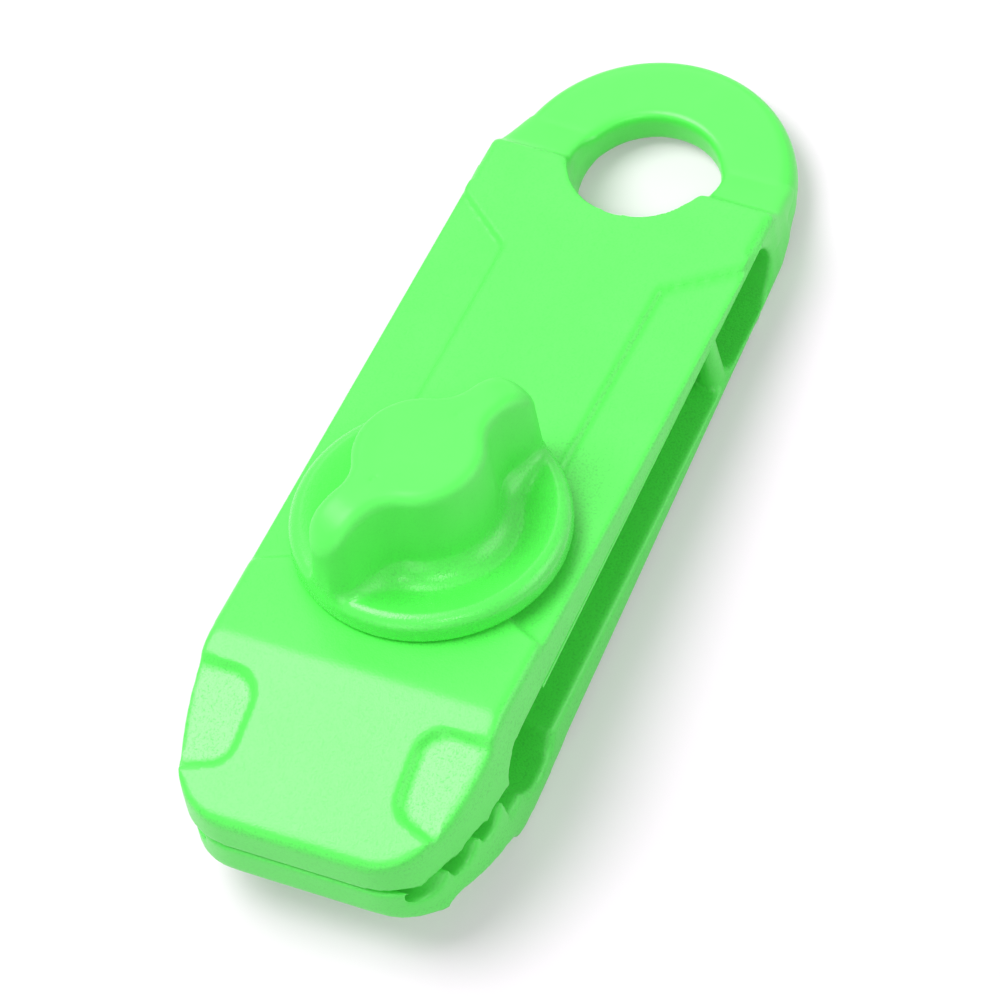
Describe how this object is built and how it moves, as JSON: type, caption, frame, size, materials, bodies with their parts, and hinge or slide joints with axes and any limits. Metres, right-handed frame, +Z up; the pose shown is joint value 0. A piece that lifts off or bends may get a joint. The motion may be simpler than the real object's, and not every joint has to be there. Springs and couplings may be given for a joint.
{
  "type": "tarp clip",
  "caption": "Wedge-shaped nylon sheet clamp with toothed jaws, a winged thumb screw through both arms and a round tie-down eyelet.",
  "frame": {"origin": "centre of the outline seen from above, on the surface that the lower arm's flat outer face rests on", "axes": "+X along the clip from the jaws to the eyelet, +Y across the arms, +Z up through the knob"},
  "size_m": [0.1134, 0.036, 0.0345],
  "materials": {
    "arm_nylon": "bright green nylon, spark-eroded satin texture",
    "knob_nylon": "bright green nylon, smooth semi-gloss",
    "zinc_steel": "bright zinc-plated steel"
  },
  "bodies": {
    "lower_arm": {"lower_arm": "arm_nylon"},
    "eyelet_end": {"eyelet_end": "arm_nylon"},
    "upper_arm": {"upper_arm": "arm_nylon"},
    "thumb_screw": {"thumb_knob": "knob_nylon", "clamp_screw": "zinc_steel"},
    "captive_nut": {"captive_nut": "zinc_steel"}
  },
  "joints": [
    {"name": "lower_bend", "type": "hinge", "parent": "lower_arm", "child": "eyelet_end", "pos_m": [0.02935, 0, 0.00065], "axis": [0, 1, 0], "range_deg": [0, 1.53]},
    {"name": "upper_bend", "type": "hinge", "parent": "eyelet_end", "child": "upper_arm", "pos_m": [0.03012, 0, 0.01073], "axis": [0, 1, 0], "range_deg": [0, 1.53]},
    {"name": "screw_turn", "type": "hinge", "parent": "upper_arm", "child": "thumb_screw", "pos_m": [-0.01603, 0, 0.01845], "axis": [0.1513, 0, 0.9885], "range_deg": [0, 900]},
    {"name": "nut_travel", "type": "slide", "parent": "upper_arm", "child": "captive_nut", "axis": [-0.1513, 0, -0.9885], "range_m": [0, 0.00251]}
  ],
  "couplings": [
    {"joint": "lower_bend", "follows": "screw_turn", "ratio": 0.0016871},
    {"joint": "upper_bend", "follows": "screw_turn", "ratio": 0.0016871},
    {"joint": "nut_travel", "follows": "screw_turn", "m_per_rad": 0.00015915}
  ]
}
